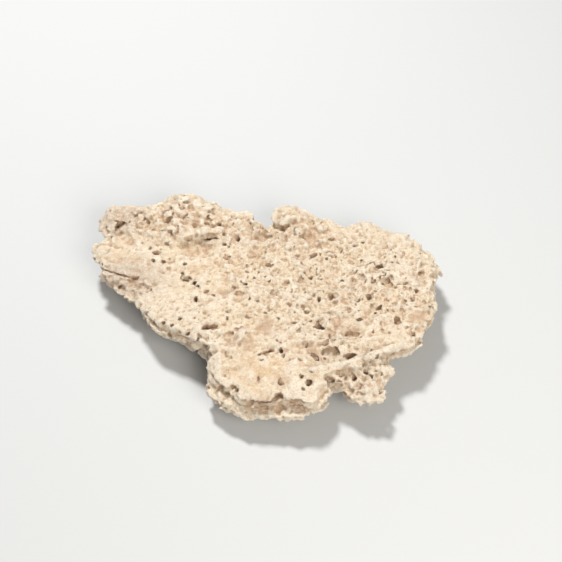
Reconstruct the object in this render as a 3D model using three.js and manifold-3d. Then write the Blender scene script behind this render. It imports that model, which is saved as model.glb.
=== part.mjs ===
// A plate of dry reef rock, the flat "shelf" rock that an aquarium keeper stacks into ledges.
// It is one natural stone: beds of porous limestone that overhang each other, a pitted and
// ridged top, a thin sheet at the left, and an underside that touches the ground on a flat spot.
// Millimetres, +Z up, +X along the plate's longest side. The origin is under the middle of the
// plate, on the surface that it rests on.
import * as THREE from "three";
import { ImprovedNoise } from "three/addons/math/ImprovedNoise.js";
import { mergeVertices } from "three/addons/utils/BufferGeometryUtils.js";
import Module from "manifold-3d";

// Driving dimensions.
const TOP_HEIGHT = 46; // mean height of the top surface above the ground
const CAPROCK_BASE = 23; // underside of the top bed, where it overhangs
const MIDDLE_BED_TOP = 30;
const MIDDLE_BED_BASE = 9;
const LOWER_BED_TOP = 16;
const BED_WAVE = 3; // how far a bed's face wanders up and down along its rim
const UNDERSIDE_RISE = 17; // how much higher the underside is at the rim than in the middle
const UNDERSIDE_CURVE = 1.7; // power of the rise: higher is flatter in the middle
const FLAT_SPOT_DEPTH = 2; // depth of the belly that the flat spot cuts off
const RIM_START = 0.93; // share of the edge's radius where the top begins to round off
const RIM_FALL = 900; // how steeply it does
const CUTTER_SIZE = [430, 330, 120]; // block that holds the sky above, or the ground below
const TOP_GRID = 10.8; // spacing of the points on the top surface
const UNDERSIDE_GRID = 18;
const GRID_JITTER = 0.3; // share of the spacing by which the points leave a regular grid
const TOP_RELIEF = [
  { height: 3, size: 90, layer: 1 },
  { height: 3, size: 36, layer: 2 },
  { height: 2.4, size: 19, layer: 3 },
];
const UNDERSIDE_RELIEF = [
  { height: 6, size: 52, layer: 4 },
  { height: 4, size: 27, layer: 5 },
];
const STONE_COLOUR = 0xe3d2b8;

// The plate's edge seen from above, anticlockwise from the right-hand end.
const PLATE_EDGE = [
  [186, 8], [187, -4], [182, -22], [176, -38], [169, -52], [162, -66], [151, -77],
  [138, -77], [127, -88], [122, -106], [121, -121], [104, -133], [87, -124], [76, -117],
  [63, -133], [54, -143], [39, -141], [24, -137], [2, -142], [-14, -140], [-28, -129],
  [-46, -116], [-52, -96], [-54, -74], [-70, -64], [-87, -57], [-100, -51], [-115, -41],
  [-127, -22], [-135, -8], [-150, 2], [-166, 14], [-174, 26], [-176, 44], [-176, 62],
  [-178, 80], [-183, 104], [-175, 124], [-156, 131], [-119, 126], [-103, 138], [-88, 143],
  [-72, 141], [-56, 128], [-41, 119], [-22, 116], [-7, 106], [7, 96], [13, 111], [26, 122],
  [38, 119], [56, 110], [75, 107], [92, 98], [107, 105], [124, 102], [139, 89], [152, 90],
  [166, 75], [177, 66], [187, 50], [191, 32],
];

// The beds below: set back under the top bed, but standing out at the front left corner.
const MIDDLE_EDGE = [
  [164, 4], [160, -30], [146, -62], [118, -76], [108, -104], [84, -112], [64, -122],
  [40, -146], [10, -149], [-20, -147], [-42, -133], [-56, -112], [-50, -82], [-76, -54],
  [-108, -38], [-128, -4], [-158, 18], [-160, 54], [-164, 92], [-146, 116], [-104, 120],
  [-64, 122], [-18, 100], [30, 104], [80, 92], [126, 80], [158, 50],
];
const LOWER_EDGE = [
  [128, 0], [122, -44], [92, -78], [60, -104], [22, -124], [-24, -126], [-46, -96],
  [-66, -44], [-112, -20], [-132, 30], [-122, 84], [-70, 102], [-10, 84], [50, 84],
  [104, 62],
];

// The thin, smooth sheet at the left, which ends in a point and overhangs the bed below it.
const SHEET_EDGE = [
  [-191, 70], [-185, 52], [-180, 39], [-168, 29], [-149, 21], [-130, 17], [-112, 24],
  [-104, 44], [-112, 68], [-134, 84], [-158, 83], [-178, 77],
];
const SHEET_CENTRE = [-142, 52];
const SHEET_BASE = 34;
const SHEET_TOP = 43;
const SHEET_TILT = 4; // degrees, down towards its point

// Raised welts on the top: height, half width, and the line that each one follows.
const RIDGES = [
  { height: 6, width: 8, line: [[56, -117], [85, -102], [111, -90], [139, -78]] },
  { height: 4, width: 7, line: [[20, -68], [40, -63], [58, -64], [78, -71], [92, -80]] },
  { height: 4.5, width: 6, line: [[-28, -78], [-16, -53]] },
  { height: 7, width: 10, line: [[-106, 80], [-78, 83], [-50, 80]] },
  { height: 5, width: 8, line: [[-178, 76], [-150, 84], [-124, 82]] },
  { height: 3.5, width: 9, line: [[-60, -70], [-66, -44], [-96, -30]] },
  { height: 3, width: 8, line: [[-10, -112], [10, -98], [38, -96], [60, -104]] },
];

// Broad swells (positive) and hollows (negative): centre, height and radii along X and Y.
const SWELLS = [
  { x: -88, y: 116, height: 7, rx: 62, ry: 24 },
  { x: 30, y: 108, height: 5, rx: 24, ry: 18 },
  { x: 150, y: 20, height: 3, rx: 40, ry: 50 },
  { x: 10, y: -30, height: 2.5, rx: 60, ry: 30 },
  { x: -76, y: 61, height: -6, rx: 34, ry: 10 },
  { x: -150, y: 14, height: -14, rx: 34, ry: 20 },
  { x: -172, y: 60, height: -14, rx: 30, ry: 34 },
  { x: 104, y: -124, height: -12, rx: 32, ry: 20 },
  { x: 68, y: -84, height: -3.5, rx: 40, ry: 12 },
  { x: 9, y: 88, height: -5, rx: 12, ry: 16 },
  { x: -122, y: 8, height: -3, rx: 30, ry: 16 },
  { x: 186, y: 40, height: -5, rx: 20, ry: 34 },
];

// The knobbly crust at the back left, where the top is at its roughest.
const CRUST = { x: -92, y: 108, rx: 78, ry: 34 };
const CRUST_RELIEF = [{ height: 5, size: 21, layer: 9 }];

// Knobs that stand out from the plate: centre, heading of the length, and radii.
const KNOBS = [
  { at: [183, 30, 37], heading: 15, radii: [14, 7, 8] },
  { at: [103, -119, 31], heading: -20, radii: [23, 14, 10] },
  { at: [121, -99, 33], heading: 60, radii: [15, 11, 9] },
  { at: [-88, 127, 43], heading: -15, radii: [26, 16, 9] },
  { at: [-168, 108, 36], heading: 70, radii: [22, 14, 10] },
  { at: [31, 107, 43], heading: -25, radii: [22, 15, 10] },
  { at: [38, -137, 27], heading: 10, radii: [27, 9, 7] },
];

// Pits in the top: centre, length, width, heading of the length in degrees, and depth.
const PITS = [
  { x: -83, y: 20, length: 21, width: 9, heading: -38, depth: 9 },
  { x: -71, y: 7, length: 16, width: 8, heading: -48, depth: 9 },
  { x: -62, y: 73, length: 32, width: 8, heading: 6, depth: 8 },
  { x: -109, y: 43, length: 14, width: 10, heading: -30, depth: 7 },
  { x: -39, y: 36, length: 14, width: 10, heading: -35, depth: 8 },
  { x: 34, y: 16, length: 12, width: 9, heading: -50, depth: 8 },
  { x: 132, y: 9, length: 14, width: 9, heading: -25, depth: 7 },
  { x: 126, y: -22, length: 13, width: 10, heading: 15, depth: 6 },
  { x: -38, y: -29, length: 11, width: 9, heading: 40, depth: 8 },
  { x: -54, y: -53, length: 21, width: 9, heading: 4, depth: 7 },
  { x: -34, y: -63, length: 18, width: 12, heading: 40, depth: 6 },
  { x: 12, y: -85, length: 20, width: 8, heading: 15, depth: 7 },
  { x: 58, y: -49, length: 11, width: 9, heading: 0, depth: 9 },
  { x: 94, y: -58, length: 23, width: 11, heading: -8, depth: 7 },
  { x: 53, y: -87, length: 17, width: 13, heading: -60, depth: 8 },
  { x: 73, y: -79, length: 22, width: 10, heading: -8, depth: 7 },
  { x: 94, y: -86, length: 17, width: 11, heading: 25, depth: 8 },
  { x: 20, y: -117, length: 14, width: 8, heading: 80, depth: 10 },
  { x: 48, y: -121, length: 11, width: 10, heading: 0, depth: 10 },
  { x: 70, y: -118, length: 16, width: 12, heading: 60, depth: 15 },
  { x: 18, y: -143, length: 18, width: 15, heading: 0, depth: 12 },
  { x: -162, y: 98, length: 20, width: 12, heading: 40, depth: 9 },
];

// Smaller pits crowd the right-hand half of the top, and a few open in the underside.
const SMALL_PITS = { count: 23, x: 72, y: 16, rx: 104, ry: 84, size: [9, 15] };
const UNDERSIDE_PITS = { count: 8, x: 10, y: -4, rx: 128, ry: 84, size: [12, 20] };
const PIT_SCATTER = 6; // how far each of them leaves the spiral that spreads them evenly
const PIT_WIDTH = 0.76; // share of its length
const PIT_DEPTH = 0.45;
const PIT_TURN = 97; // degrees from one pit's heading to the next
const GOLDEN_ANGLE = Math.PI * (3 - Math.sqrt(5));

const wasm = await Module();
wasm.setup();

// three.js geometry as a manifold solid: only the position counts, with shared corners merged.
function toSolid(geometry) {
  const bare = geometry.clone();
  bare.deleteAttribute("normal");
  bare.deleteAttribute("uv");
  const merged = mergeVertices(bare, 1e-3);
  return new wasm.Manifold(
    new wasm.Mesh({
      numProp: 3,
      vertProperties: merged.attributes.position.array,
      triVerts: new Uint32Array(merged.index.array),
    }),
  );
}

function toGeometry(solid) {
  const mesh = solid.getMesh();
  const geometry = new THREE.BufferGeometry();
  geometry.setAttribute("position", new THREE.BufferAttribute(mesh.vertProperties, 3));
  geometry.setIndex(new THREE.BufferAttribute(mesh.triVerts, 1));
  geometry.computeVertexNormals();
  return geometry;
}

// Moves every vertex of a geometry by a function that changes the point it is given.
function moveVertices(geometry, move) {
  const position = geometry.getAttribute("position");
  const point = new THREE.Vector3();
  for (let i = 0; i < position.count; i++) {
    point.fromBufferAttribute(position, i);
    move(point);
    position.setXYZ(i, point.x, point.y, point.z);
  }
  return geometry;
}

// Smooth noise from about -1 to 1, with lumps of the given size. The layer picks another pattern.
const perlin = new ImprovedNoise();
function noise(x, y, z, size, layer) {
  return 1.4 * perlin.noise(x / size + 7.3 * layer, y / size - 3.1 * layer, z / size + layer);
}

// The distance from a centre to a closed edge, as a function of the angle in radians.
function radiusOfEdge(edge, centre = [0, 0]) {
  const corners = edge.map(([x, y]) => new THREE.Vector3(x - centre[0], y - centre[1], 0));
  const curve = new THREE.CatmullRomCurve3(corners, true, "catmullrom", 0.5);
  const samples = curve
    .getPoints(edge.length * 12)
    .map((p) => ({ angle: Math.atan2(p.y, p.x), radius: Math.hypot(p.x, p.y) }))
    .sort((a, b) => a.angle - b.angle);
  return (angle) => {
    const found = samples.findIndex((s) => s.angle > angle);
    const next = found < 0 ? 0 : found;
    const before = (next + samples.length - 1) % samples.length;
    const [a, b] = [samples[before], samples[next]];
    const step = THREE.MathUtils.euclideanModulo(b.angle - a.angle, 2 * Math.PI);
    const along = THREE.MathUtils.euclideanModulo(angle - a.angle, 2 * Math.PI);
    return THREE.MathUtils.lerp(a.radius, b.radius, Math.min(1, along / Math.max(step, 1e-9)));
  };
}

// The sum of several layers of noise at a place on the plate.
function relief(x, y, waves) {
  return waves.reduce((sum, { height, size, layer }) => sum + height * noise(x, y, 0, size, layer), 0);
}

const plateRadius = radiusOfEdge(PLATE_EDGE);

// How far out a point lies: 0 in the middle of the plate and 1 on its edge.
function shareOut(x, y) {
  return Math.hypot(x, y) / plateRadius(Math.atan2(y, x));
}

// One bed: a round disc turned by LatheGeometry, whose rings are then drawn out to the edge.
// The profile lists the rings from the bottom up as [share of the edge's radius, height].
function bed({ edge, centre = [0, 0], profile, segments, roughness, layer }) {
  const radius = radiusOfEdge(edge, centre);
  const rings = profile.map(([share, height]) => new THREE.Vector2(share, height));
  const disc = new THREE.LatheGeometry(rings, segments);
  disc.rotateX(Math.PI / 2);
  return moveVertices(disc, (p) => {
    const share = Math.hypot(p.x, p.y);
    const angle = Math.atan2(p.y, p.x);
    const reach = share * radius(angle);
    const x = centre[0] + reach * Math.cos(angle);
    const y = centre[1] + reach * Math.sin(angle);
    const chips = noise(x, y, p.z, 21, layer) + 0.6 * noise(x, y, p.z, 9, layer + 1);
    const bump = roughness * share * share * chips;
    p.x = x + bump * Math.cos(angle);
    p.y = y + bump * Math.sin(angle);
    const wave = BED_WAVE * noise(x, y, 0, 75, layer + 3);
    if (p.z > 0.01) p.z += share * (wave + 0.35 * roughness * noise(x, y, 0, 17, layer + 2));
  });
}

function distanceToLine(x, y, line) {
  const point = new THREE.Vector3(x, y, 0);
  const nearest = new THREE.Vector3();
  const distances = line.slice(1).map(([bx, by], i) => {
    const [ax, ay] = line[i];
    new THREE.Line3(new THREE.Vector3(ax, ay, 0), new THREE.Vector3(bx, by, 0))
      .closestPointToPoint(point, true, nearest);
    return nearest.distanceTo(point);
  });
  return Math.min(...distances);
}

// Height of the top surface at a place on the plate.
function topHeight(x, y) {
  let height = TOP_HEIGHT + relief(x, y, TOP_RELIEF);
  for (const { x: cx, y: cy, height: swell, rx, ry } of SWELLS) {
    height += swell * Math.exp(-(((x - cx) / rx) ** 2) - ((y - cy) / ry) ** 2);
  }
  for (const { height: ridge, width, line } of RIDGES) {
    height += ridge * Math.exp(-((distanceToLine(x, y, line) / width) ** 2));
  }
  const crust = Math.exp(-(((x - CRUST.x) / CRUST.rx) ** 4) - ((y - CRUST.y) / CRUST.ry) ** 4);
  height += crust * relief(x, y, CRUST_RELIEF);
  const overRim = Math.max(0, shareOut(x, y) - RIM_START);
  return height - RIM_FALL * overRim ** 2;
}

// Height of the underside: negative in the middle, where the flat spot takes its place.
function undersideHeight(x, y) {
  const share = shareOut(x, y);
  const rise = UNDERSIDE_RISE * share ** UNDERSIDE_CURVE;
  const lumps = Math.min(1, share * 1.6) * relief(x, y, UNDERSIDE_RELIEF);
  return rise - FLAT_SPOT_DEPTH + lumps;
}

// A block with one rough face, which cuts the beds down to the top surface or the underside.
function cutterBlock(surface, spacing, side) {
  const [width, depth, height] = CUTTER_SIZE;
  const columns = Math.round(width / spacing);
  const rows = Math.round(depth / spacing);
  const block = new THREE.BoxGeometry(width, depth, height, columns, rows, 1);
  return moveVertices(block, (p) => {
    const rough = Math.sign(p.z) !== side;
    const inside = Math.abs(p.x) < width / 2 - 1 && Math.abs(p.y) < depth / 2 - 1;
    if (inside) {
      const x = p.x + GRID_JITTER * spacing * noise(p.x, p.y, 0, 11, 6);
      p.y += GRID_JITTER * spacing * noise(p.x, p.y, 0, 11, 7);
      p.x = x;
    }
    p.z = rough ? surface(p.x, p.y) : side * height;
  });
}

// A lump with rounded, uneven sides, for a knob or, cut out of the rock, a pit.
function lump(radii, heading, at, detail = 1) {
  const ball = new THREE.IcosahedronGeometry(1, detail);
  const turn = THREE.MathUtils.degToRad(heading);
  moveVertices(ball, (p) => {
    p.multiplyScalar(1 + 0.25 * noise(p.x + at[0], p.y + at[1], p.z, 0.9, 8));
    p.multiply(new THREE.Vector3(...radii));
  });
  return ball.rotateZ(turn).translate(...at);
}

// Small pits spread over a patch of the top or the underside, no two of them alike.
function scatteredPits({ count, x: cx, y: cy, rx, ry, size: [smallest, largest] }, surface) {
  return Array.from({ length: count }, (_, i) => {
    const reach = Math.sqrt((i + 0.5) / count);
    const angle = i * GOLDEN_ANGLE;
    const x = cx + rx * reach * Math.cos(angle) + PIT_SCATTER * noise(i, 0, 0, 0.7, 50);
    const y = cy + ry * reach * Math.sin(angle) + PIT_SCATTER * noise(0, i, 0, 0.7, 51);
    const length = THREE.MathUtils.mapLinear(noise(i, i, 0, 0.9, 52), -0.8, 0.8, smallest, largest);
    const radii = [length / 2, (PIT_WIDTH * length) / 2, PIT_DEPTH * length];
    return lump(radii, PIT_TURN * i, [x, y, surface(x, y)], 0);
  });
}

const caprock = bed({
  edge: PLATE_EDGE,
  profile: [
    [0, CAPROCK_BASE], [0.8, CAPROCK_BASE], [0.95, CAPROCK_BASE + 3], [0.99, CAPROCK_BASE + 8],
    [1, CAPROCK_BASE + 14], [0.985, CAPROCK_BASE + 21], [0.96, TOP_HEIGHT + 24], [0, TOP_HEIGHT + 24],
  ],
  segments: 116,
  roughness: 3.2,
  layer: 10,
});

const middleBed = bed({
  edge: MIDDLE_EDGE,
  profile: [
    [0, MIDDLE_BED_BASE], [0.84, MIDDLE_BED_BASE], [0.96, MIDDLE_BED_BASE + 5],
    [1, MIDDLE_BED_BASE + 12], [0.96, MIDDLE_BED_TOP], [0, MIDDLE_BED_TOP],
  ],
  segments: 72,
  roughness: 4.2,
  layer: 20,
});

const lowerBed = bed({
  edge: LOWER_EDGE,
  profile: [
    [0, 0], [0.93, 0], [1, 6], [0.97, 12], [0.9, LOWER_BED_TOP], [0, LOWER_BED_TOP],
  ],
  segments: 48,
  roughness: 5,
  layer: 30,
});

const sheet = bed({
  edge: SHEET_EDGE,
  centre: SHEET_CENTRE,
  profile: [
    [0, SHEET_BASE - 4], [0.72, SHEET_BASE - 2], [0.93, SHEET_BASE + 1], [1, SHEET_BASE + 4],
    [0.97, SHEET_TOP - 2], [0.86, SHEET_TOP], [0.5, SHEET_TOP + 1], [0, SHEET_TOP + 1],
  ],
  segments: 40,
  roughness: 1.2,
  layer: 40,
});
sheet
  .translate(-SHEET_CENTRE[0], 0, -SHEET_TOP)
  .rotateY(-THREE.MathUtils.degToRad(SHEET_TILT))
  .translate(SHEET_CENTRE[0], 0, SHEET_TOP);

const beds = [caprock, middleBed, lowerBed].map(toSolid).reduce((a, b) => a.add(b));
const sky = toSolid(cutterBlock(topHeight, TOP_GRID, 1));
const ground = toSolid(cutterBlock(undersideHeight, UNDERSIDE_GRID, -1));
let rock = beds.subtract(sky).subtract(ground).add(toSolid(sheet));
for (const { at, heading, radii } of KNOBS) {
  rock = rock.add(toSolid(lump(radii, heading, at)));
}
for (const { x, y, length, width, heading, depth } of PITS) {
  const radii = [length / 2, width / 2, depth];
  rock = rock.subtract(toSolid(lump(radii, heading, [x, y, topHeight(x, y)])));
}
const undersideSurface = (x, y) => Math.max(0, undersideHeight(x, y));
for (const pit of [
  ...scatteredPits(SMALL_PITS, topHeight),
  ...scatteredPits(UNDERSIDE_PITS, undersideSurface),
]) {
  rock = rock.subtract(toSolid(pit));
}

const stone = new THREE.MeshStandardMaterial({
  color: STONE_COLOUR,
  roughness: 0.95,
  metalness: 0,
});
const shape = toGeometry(rock);
shape.computeBoundingBox();
const middle = shape.boundingBox.getCenter(new THREE.Vector3());
shape.translate(-middle.x, -middle.y, -shape.boundingBox.min.z);
const reefRock = new THREE.Mesh(shape, stone);
reefRock.name = "reef_rock";

const part = new THREE.Group();
part.add(reefRock);

export default part;
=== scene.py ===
# %% [markdown]
# # A plate of dry reef rock
#
# This file dresses one natural stone: a flat plate of porous reef limestone, the kind that is
# laid as a shelf in a marine aquarium. The stone's main form, its beds, its outline and the
# spot that it rests on, is packed already and doesn't change here. What this file adds is what
# water, worms and coral left on it: knobs, welts, thin layers, pits, pores, stains and grain.
#
# Every length below is in millimetres until it is multiplied by `MM`, because Blender works in
# metres. A place that was read off the photograph is written in its pixels, 562 each way.

import math
import random

import bpy
import numpy as np
from mathutils import Matrix, Vector, kdtree, noise
from mathutils.bvhtree import BVHTree


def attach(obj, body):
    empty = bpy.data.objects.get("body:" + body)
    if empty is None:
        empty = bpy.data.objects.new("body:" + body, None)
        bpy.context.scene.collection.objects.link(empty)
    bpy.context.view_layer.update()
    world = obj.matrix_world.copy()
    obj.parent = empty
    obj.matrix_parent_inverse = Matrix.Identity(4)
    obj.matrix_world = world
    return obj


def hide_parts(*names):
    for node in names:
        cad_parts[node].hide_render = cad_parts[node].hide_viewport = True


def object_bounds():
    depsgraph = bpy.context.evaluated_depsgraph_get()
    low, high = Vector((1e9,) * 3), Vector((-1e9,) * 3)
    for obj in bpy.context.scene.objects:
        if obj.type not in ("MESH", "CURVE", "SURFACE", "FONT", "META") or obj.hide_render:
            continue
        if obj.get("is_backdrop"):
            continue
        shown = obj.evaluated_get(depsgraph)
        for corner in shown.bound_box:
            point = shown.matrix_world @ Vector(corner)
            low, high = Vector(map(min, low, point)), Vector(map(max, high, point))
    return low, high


# Blender seeds its noise from the clock unless it is told not to.
NOISE_SEED = 4
noise.seed_set(NOISE_SEED)

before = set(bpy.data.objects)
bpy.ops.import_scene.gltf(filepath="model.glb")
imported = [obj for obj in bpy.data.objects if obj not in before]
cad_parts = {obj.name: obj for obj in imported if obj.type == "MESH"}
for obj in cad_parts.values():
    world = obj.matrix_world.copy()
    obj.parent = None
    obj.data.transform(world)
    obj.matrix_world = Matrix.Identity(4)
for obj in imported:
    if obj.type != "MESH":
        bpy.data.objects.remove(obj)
cad_box = [list(corner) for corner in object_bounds()]

MM = 0.001
packed_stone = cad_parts["reef_rock"]
print("packed stone, mm:", [round((b - a) / MM, 1) for a, b in zip(*cad_box)])

# %% [markdown]
# ## The camera
#
# Round worm holes look about three quarters as tall as they are wide in the photograph, so it
# was taken from about 50 degrees above the plate. A long lens from over a metre away gives the
# same flat perspective. The camera comes first, because pits are placed by looking through it.

# %% Camera at the photograph's angle
PHOTO_SIZE = 562
LENS = 72.9
SENSOR = 36.0
HEIGHT_ANGLE = math.radians(50)
DISTANCE = 1250 * MM
LOOK_AT = Vector((17.2, 30.0, 30.0)) * MM

FORWARD = Vector((0, math.cos(HEIGHT_ANGLE), -math.sin(HEIGHT_ANGLE)))
UPWARD = Vector((0, math.sin(HEIGHT_ANGLE), math.cos(HEIGHT_ANGLE)))
EYE = LOOK_AT - DISTANCE * FORWARD

camera_data = bpy.data.cameras.new("photo_camera")
camera_data.lens = LENS
camera_data.sensor_width = SENSOR
camera_data.clip_end = 20
camera = bpy.data.objects.new("photo_camera", camera_data)
camera.location = EYE
camera.rotation_euler = (math.pi / 2 - HEIGHT_ANGLE, 0, 0)
bpy.context.scene.collection.objects.link(camera)
bpy.context.scene.camera = camera
print("camera at, mm:", [round(v / MM) for v in EYE])

# %% A line of sight through a pixel of the photograph
FOCAL_PIXELS = LENS / SENSOR * PHOTO_SIZE


def line_of_sight(across, down):
    side = (across - PHOTO_SIZE / 2) / FOCAL_PIXELS
    rise = (PHOTO_SIZE / 2 - down) / FOCAL_PIXELS
    return (FORWARD + side * Vector((1, 0, 0)) + rise * UPWARD).normalized()


# %% [markdown]
# ## The studio
#
# A plain pale floor, a warm white room and two lamps. The photograph's shadows lie just in front
# of each knob, so its main light comes from above and behind, and it is small enough to pick out
# a pore of 2 mm. A broad weak lamp at the front right opens up the front edge, which would look
# brown without it.

# %% Floor, room and lamps
FLOOR_SIDE = 12.0
FLOOR_COLOUR = (0.56, 0.585, 0.61, 1)
ROOM_COLOUR = (1.0, 0.935, 0.85, 1)
ROOM_LIGHT = 0.28
LAMPS = [
    {
        "name": "key_lamp", "place": (-0.45, 1.1, 2.0), "size": 0.38, "power": 56,
        "colour": (1.0, 0.97, 0.93),
    },
    {
        "name": "front_lamp", "place": (0.7, -1.2, 1.0), "size": 1.2, "power": 22,
        "colour": (1.0, 0.94, 0.86),
    },
]

bpy.ops.object.select_all(action="DESELECT")
bpy.ops.mesh.primitive_plane_add(size=FLOOR_SIDE, location=(0, 0, 0))
floor = bpy.context.object
floor.name = "floor"
floor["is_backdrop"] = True

floor_paint = bpy.data.materials.new("pale_floor")
floor_paint.use_nodes = True
floor_shader = floor_paint.node_tree.nodes["Principled BSDF"]
floor_shader.inputs["Base Color"].default_value = FLOOR_COLOUR
floor_shader.inputs["Roughness"].default_value = 0.9
floor.data.materials.append(floor_paint)

room = bpy.data.worlds.new("white_room")
room.use_nodes = True
room.node_tree.nodes["Background"].inputs["Color"].default_value = ROOM_COLOUR
room.node_tree.nodes["Background"].inputs["Strength"].default_value = ROOM_LIGHT
bpy.context.scene.world = room
bpy.context.scene.view_settings.view_transform = "Standard"

for lamp in LAMPS:
    light = bpy.data.lights.new(lamp["name"], "AREA")
    light.shape = "DISK"
    light.size = lamp["size"]
    light.energy = lamp["power"]
    light.color = lamp["colour"]
    holder = bpy.data.objects.new(lamp["name"], light)
    holder.location = lamp["place"]
    holder.rotation_euler = (-holder.location).to_track_quat("-Z", "Y").to_euler()
    bpy.context.scene.collection.objects.link(holder)

# %% [markdown]
# ## A soft blank of the stone
#
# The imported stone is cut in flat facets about 10 mm wide. A carver would rub such a blank round
# before adding detail. Here its copy is merged, remeshed into small even squares and smoothed.
# Subdivision Surface would do it too, but it pinches at the long thin triangles that the cuts
# left, and a voxel remesh doesn't care how the surface was made.


# %% Helpers for one object and its modifiers
def only(thing):
    bpy.ops.object.select_all(action="DESELECT")
    thing.select_set(True)
    bpy.context.view_layer.objects.active = thing


def finish_with(thing, kind, **settings):
    """Adds a modifier, sets it and applies it."""
    only(thing)
    modifier = thing.modifiers.new(kind.lower(), kind)
    for name, value in settings.items():
        setattr(modifier, name, value)
    bpy.ops.object.modifier_apply(modifier=modifier.name)


def copy_of(thing, name):
    twin = thing.copy()
    twin.data = thing.data.copy()
    twin.name = name
    twin.parent = None
    bpy.context.scene.collection.objects.link(twin)
    return twin


def triangles(thing):
    return sum(len(face.vertices) - 2 for face in thing.data.polygons)


# %% Copy, merge, remesh and rub down
BLANK_VOXEL = 1.15 * MM
RUBBING = 7

reef_rock = copy_of(packed_stone, "reef_rock_dressed")
reef_rock.data.materials.clear()
only(reef_rock)
bpy.ops.object.mode_set(mode="EDIT")
bpy.ops.mesh.select_all(action="SELECT")
bpy.ops.mesh.remove_doubles(threshold=0.01 * MM)
bpy.ops.object.mode_set(mode="OBJECT")
finish_with(reef_rock, "REMESH", mode="VOXEL", voxel_size=BLANK_VOXEL)
finish_with(reef_rock, "SMOOTH", factor=0.5, iterations=RUBBING)
print("blank:", len(reef_rock.data.vertices), "points")

# %% [markdown]
# ## Reading the blank
#
# Relief is added by moving every point along its normal by an amount worked out from where it
# is. The points and normals are read into arrays once, and a photograph's pixel is turned into a
# place on the stone by following the line of sight until it meets the blank.


# %% Points, normals and places on the stone
def points_of(thing):
    flat = np.empty(len(thing.data.vertices) * 3)
    thing.data.vertices.foreach_get("co", flat)
    return flat.reshape(-1, 3)


def normals_of(thing):
    flat = np.empty(len(thing.data.vertices) * 3, np.float32)
    thing.data.vertex_normals.foreach_get("vector", flat)
    return flat.reshape(-1, 3)


def skin_of(thing):
    return BVHTree.FromObject(thing, bpy.context.evaluated_depsgraph_get())


blank_skin = skin_of(reef_rock)


def on_stone(across, down):
    """The place and the normal of the stone's skin behind a pixel of the photograph."""
    place, normal, _, _ = blank_skin.ray_cast(EYE, line_of_sight(across, down))
    if place is None:
        place, normal, _, _ = blank_skin.find_nearest(EYE + line_of_sight(across, down) * DISTANCE)
    return place, normal


def patch(points, across, down, wide, deep):
    """A soft round patch about a pixel: 1 in its middle, 0 outside. wide and deep are in mm."""
    middle = on_stone(across, down)[0]
    x = (points[:, 0] - middle.x) / (wide * MM)
    y = (points[:, 1] - middle.y) / (deep * MM)
    return np.exp(-((x * x + y * y) ** 1.5))


def soft_step(values, start, end):
    t = np.clip((values - start) / (end - start), 0, 1)
    return t * t * (3 - 2 * t)


# %% [markdown]
# ## Zones of the top
#
# The top isn't the same all over. The back left is a knobbly crust, the far left a thin smooth
# sheet, the middle left is rubbed fairly smooth, the right is crowded with pits, and the front is
# smooth again with a few separate holes. Each zone is a soft patch, and the patches steer both
# the relief and the colour, so that the two always agree.


# %% Zones as soft patches
def zones_of(thing):
    points, normals = points_of(thing), normals_of(thing)
    top = soft_step(normals[:, 2], 0.15, 0.6)
    side = 1 - soft_step(np.abs(normals[:, 2]), 0.35, 0.8)
    crust = np.maximum(patch(points, 180, 218, 62, 30), 0.9 * patch(points, 235, 227, 44, 20))
    crust = np.maximum(crust, 0.8 * patch(points, 296, 226, 34, 26))
    crust = np.maximum(crust, 0.6 * patch(points, 320, 240, 36, 18))
    lobe = patch(points, 117, 218, 28, 26)
    sheet = patch(points, 122, 256, 34, 26)
    front = patch(points, 272, 375, 52, 30)
    rubbed = patch(points, 180, 290, 66, 34)
    pitted = np.maximum(patch(points, 340, 285, 108, 74), patch(points, 270, 262, 62, 44))
    sponge = patch(points, 362, 380, 26, 22)
    hump = patch(points, 200, 234, 24, 9)
    grained = np.maximum(patch(points, 215, 300, 80, 44), patch(points, 290, 330, 90, 40))
    return {
        "points": points,
        "normals": normals,
        "top": top,
        "side": side,
        "crust": crust * (1 - sheet) * (1 - 0.7 * hump),
        "lobe": lobe,
        "sheet": sheet,
        "front": front,
        "rubbed": rubbed * (1 - sheet),
        "pitted": pitted * (1 - front),
        "sponge": sponge,
        "hump": hump,
        "grained": grained * top,
        "rim": patch(points, 424, 306, 20, 60),
    }


# %% [markdown]
# ## Relief
#
# Each kind of relief is a height in mm, times the zones that it belongs to, times a pattern. The
# patterns are hills and basins, winding crests, which is what `1 - abs(noise)` gives, knobs with
# creases between them, and domes like popcorn for the crust. Some are drawn out along the stone's
# grain. The sides get thin shelves with a crack under each, which depend on height alone. Welts,
# ridges and creases follow lines read from the photograph.
#
# All of it is added to the points themselves, and not as a Displace modifier, because a point's
# height then comes from its zones and from several patterns at once. Nothing moves at the foot,
# in the lowest half millimetre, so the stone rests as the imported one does.

# %% Noise over many points at once
FAR_APART = 37.7
FOOT = (0.4 * MM, 4 * MM)


def rolling(points, size, layer, octaves=2):
    """Smooth hills and hollows from about -1 to 1, whose size is in mm."""
    offset = Vector((layer * FAR_APART, -layer * FAR_APART, layer * 0.5))
    scaled = points / (size * MM)
    return np.array([noise.fractal(Vector(p) + offset, 1.0, 2.0, octaves) for p in scaled])


def crests(points, size, layer, octaves=3):
    """Sharp winding crests between rounded hollows, from about -1 in a hollow to 1 on a crest."""
    offset = Vector((-layer * FAR_APART, layer * FAR_APART, layer * 0.3))
    scaled = points / (size * MM)
    hills = np.array([noise.fractal(Vector(p) + offset, 0.9, 2.1, octaves) for p in scaled])
    return 1 - 2.6 * np.abs(hills)


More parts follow.
